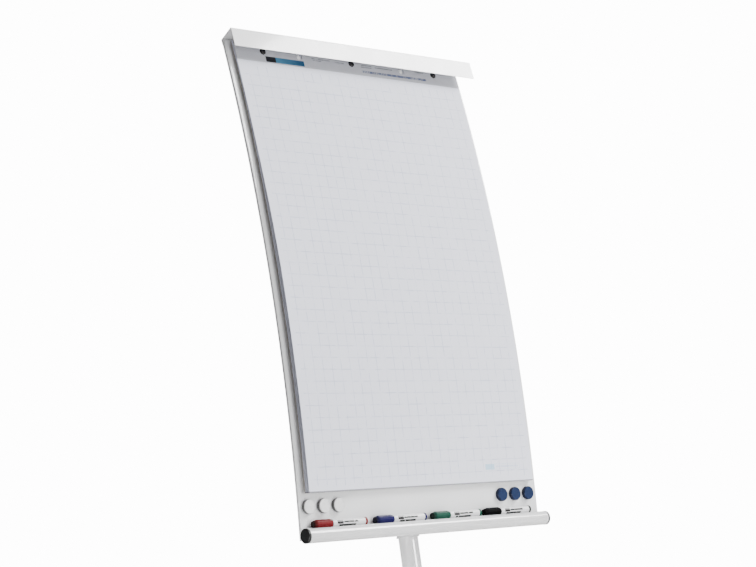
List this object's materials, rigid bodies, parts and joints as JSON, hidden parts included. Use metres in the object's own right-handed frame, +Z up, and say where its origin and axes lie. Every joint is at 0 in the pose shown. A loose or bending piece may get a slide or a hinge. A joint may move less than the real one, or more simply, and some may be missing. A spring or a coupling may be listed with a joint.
{
  "type": "flipchart easel",
  "caption": "Mobile flipchart easel: bowed steel board with hood, paper pad and marker rail on a leaning height-adjustable mast over a castor star base.",
  "frame": {"origin": "on the floor, below the middle of the whole easel", "axes": "+Z up, -Y towards the user, +X the user's right"},
  "size_m": [0.6996, 0.6433, 1.8675],
  "materials": {
    "white_lacquer": "smooth semi-gloss lacquer on steel sheet",
    "board_face": "glossy dry-wipe lacquer",
    "tube_lacquer": "fine powder coat on round tube",
    "base_lacquer": "fine powder coat",
    "zinc_steel": "bright zinc plate",
    "black_plastic": "fine moulded grain",
    "wheel_plastic": "matt tread",
    "bush_plastic": "smooth moulded",
    "brass": "turned",
    "fibreboard": "pressed fibreboard",
    "grey_card": "printed grey card",
    "brown_card": "grey-brown backing board",
    "pad_paper": "matt paper with a pale grid",
    "magnet_white": "moulded",
    "magnet_blue": "moulded",
    "marker_white": "moulded with printed bars",
    "ink_red": "moulded",
    "ink_blue": "moulded",
    "ink_green": "moulded",
    "ink_black": "moulded"
  },
  "bodies": {
    "base": {"base_hub": "base_lacquer", "base_legs": "base_lacquer", "castor_sockets": "base_lacquer", "socket_caps": "black_plastic", "mast_tube": "tube_lacquer", "mast_socket": "base_lacquer", "mast_screws": "zinc_steel", "mast_top_cap": "black_plastic"},
    "carriage": {"carriage_sleeve": "tube_lacquer", "lower_bush": "bush_plastic", "upper_bush": "bush_plastic", "clamp_shoe": "brass", "lower_bracket": "white_lacquer", "upper_bracket": "white_lacquer", "board_panel": "board_face", "board_core": "fibreboard", "board_ribs": "white_lacquer", "board_screws": "zinc_steel", "hood": "white_lacquer", "pad_pins": "black_plastic", "pad_pin_nuts": "black_plastic", "rail_tube": "white_lacquer", "rail_caps": "black_plastic", "rail_saddles": "black_plastic", "pad_backing": "brown_card", "pad_sheets": "pad_paper", "pad_header": "grey_card"},
    "height_clamp": {"height_knob": "black_plastic", "clamp_stud": "zinc_steel"},
    "castor_rear": {"castor_rear_housing": "black_plastic", "castor_rear_stem_and_axle": "zinc_steel"},
    "castor_rear_wheel_pair": {"castor_rear_wheels": "wheel_plastic"},
    "castor_left": {"castor_left_housing": "black_plastic", "castor_left_stem_and_axle": "zinc_steel"},
    "castor_left_wheel_pair": {"castor_left_wheels": "wheel_plastic"},
    "castor_front_left": {"castor_front_left_housing": "black_plastic", "castor_front_left_stem_and_axle": "zinc_steel"},
    "castor_front_left_wheel_pair": {"castor_front_left_wheels": "wheel_plastic"},
    "castor_front_left_pedal": {"castor_front_left_brake_pedal": "black_plastic"},
    "castor_front_right": {"castor_front_right_housing": "black_plastic", "castor_front_right_stem_and_axle": "zinc_steel"},
    "castor_front_right_wheel_pair": {"castor_front_right_wheels": "wheel_plastic"},
    "castor_front_right_pedal": {"castor_front_right_brake_pedal": "black_plastic"},
    "castor_right": {"castor_right_housing": "black_plastic", "castor_right_stem_and_axle": "zinc_steel"},
    "castor_right_wheel_pair": {"castor_right_wheels": "wheel_plastic"},
    "red_marker": {"red_marker_barrel": "marker_white", "red_marker_cap": "ink_red"},
    "blue_marker": {"blue_marker_barrel": "marker_white", "blue_marker_cap": "ink_blue"},
    "green_marker": {"green_marker_barrel": "marker_white", "green_marker_cap": "ink_green"},
    "black_marker": {"black_marker_barrel": "marker_white", "black_marker_cap": "ink_black"},
    "white_magnet_1_body": {"white_magnet_1": "magnet_white"},
    "white_magnet_2_body": {"white_magnet_2": "magnet_white"},
    "white_magnet_3_body": {"white_magnet_3": "magnet_white"},
    "blue_magnet_1_body": {"blue_magnet_1": "magnet_blue"},
    "blue_magnet_2_body": {"blue_magnet_2": "magnet_blue"},
    "blue_magnet_3_body": {"blue_magnet_3": "magnet_blue"}
  },
  "joints": [
    {"name": "height_slide", "type": "slide", "parent": "base", "child": "carriage", "axis": [0, 0.2079, 0.9781], "range_m": [-0.1, 0.15]},
    {"name": "height_knob_turn", "type": "hinge", "parent": "carriage", "child": "height_clamp", "pos_m": [0, 0.14594, 1.00019], "axis": [0, 0.9781, -0.2079], "range_deg": [0, 360]},
    {"name": "castor_rear_swivel", "type": "hinge", "parent": "base", "child": "castor_rear", "pos_m": [0, 0.25035, 0.06], "axis": [0, 0, 1], "continuous": true},
    {"name": "castor_rear_roll", "type": "hinge", "parent": "castor_rear", "child": "castor_rear_wheel_pair", "pos_m": [0.01379, 0.26192, 0.025], "axis": [0.6428, -0.766, 0], "continuous": true},
    {"name": "castor_left_swivel", "type": "hinge", "parent": "base", "child": "castor_left", "pos_m": [-0.28532, 0.04305, 0.06], "axis": [0, 0, 1], "continuous": true},
    {"name": "castor_left_roll", "type": "hinge", "parent": "castor_left", "child": "castor_left_wheel_pair", "pos_m": [-0.29564, 0.02831, 0.025], "axis": [-0.8192, 0.5736, 0], "continuous": true},
    {"name": "castor_front_left_swivel", "type": "hinge", "parent": "base", "child": "castor_front_left", "pos_m": [-0.17634, -0.29236, 0.06], "axis": [0, 0, 1], "continuous": true},
    {"name": "castor_front_left_roll", "type": "hinge", "parent": "castor_front_left", "child": "castor_front_left_wheel_pair", "pos_m": [-0.19325, -0.2862, 0.025], "axis": [0.342, 0.9397, 0], "continuous": true},
    {"name": "castor_front_left_brake", "type": "hinge", "parent": "castor_front_left", "child": "castor_front_left_pedal", "pos_m": [-0.22332, -0.27526, 0.04], "axis": [0.342, 0.9397, 0], "range_deg": [0, 18]},
    {"name": "castor_front_right_swivel", "type": "hinge", "parent": "base", "child": "castor_front_right", "pos_m": [0.17634, -0.29236, 0.06], "axis": [0, 0, 1], "continuous": true},
    {"name": "castor_front_right_roll", "type": "hinge", "parent": "castor_front_right", "child": "castor_front_right_wheel_pair", "pos_m": [0.18099, -0.27497, 0.025], "axis": [0.9659, -0.2588, 0], "continuous": true},
    {"name": "castor_front_right_brake", "type": "hinge", "parent": "castor_front_right", "child": "castor_front_right_pedal", "pos_m": [0.18928, -0.24406, 0.04], "axis": [0.9659, -0.2588, 0], "range_deg": [0, 18]},
    {"name": "castor_right_swivel", "type": "hinge", "parent": "base", "child": "castor_right", "pos_m": [0.28532, 0.04305, 0.06], "axis": [0, 0, 1], "continuous": true},
    {"name": "castor_right_roll", "type": "hinge", "parent": "castor_right", "child": "castor_right_wheel_pair", "pos_m": [0.29911, 0.03148, 0.025], "axis": [-0.6428, -0.766, 0], "continuous": true},
    {"name": "red_marker_lift", "type": "slide", "parent": "carriage", "child": "red_marker", "axis": [0, -0.6069, 0.7948], "range_m": [0, 0.1]},
    {"name": "blue_marker_lift", "type": "slide", "parent": "carriage", "child": "blue_marker", "axis": [0, -0.6069, 0.7948], "range_m": [0, 0.1]},
    {"name": "green_marker_lift", "type": "slide", "parent": "carriage", "child": "green_marker", "axis": [0, -0.6069, 0.7948], "range_m": [0, 0.1]},
    {"name": "black_marker_lift", "type": "slide", "parent": "carriage", "child": "black_marker", "axis": [0, -0.6069, 0.7948], "range_m": [0, 0.1]},
    {"name": "white_magnet_1_pull", "type": "slide", "parent": "carriage", "child": "white_magnet_1_body", "axis": [0, -0.9899, 0.1414], "range_m": [0, 0.04]},
    {"name": "white_magnet_2_pull", "type": "slide", "parent": "carriage", "child": "white_magnet_2_body", "axis": [0, -0.9899, 0.1414], "range_m": [0, 0.04]},
    {"name": "white_magnet_3_pull", "type": "slide", "parent": "carriage", "child": "white_magnet_3_body", "axis": [0, -0.9899, 0.1414], "range_m": [0, 0.04]},
    {"name": "blue_magnet_1_pull", "type": "slide", "parent": "carriage", "child": "blue_magnet_1_body", "axis": [0, -0.9899, 0.1414], "range_m": [0, 0.04]},
    {"name": "blue_magnet_2_pull", "type": "slide", "parent": "carriage", "child": "blue_magnet_2_body", "axis": [0, -0.9899, 0.1414], "range_m": [0, 0.04]},
    {"name": "blue_magnet_3_pull", "type": "slide", "parent": "carriage", "child": "blue_magnet_3_body", "axis": [0, -0.9899, 0.1414], "range_m": [0, 0.04]}
  ]
}
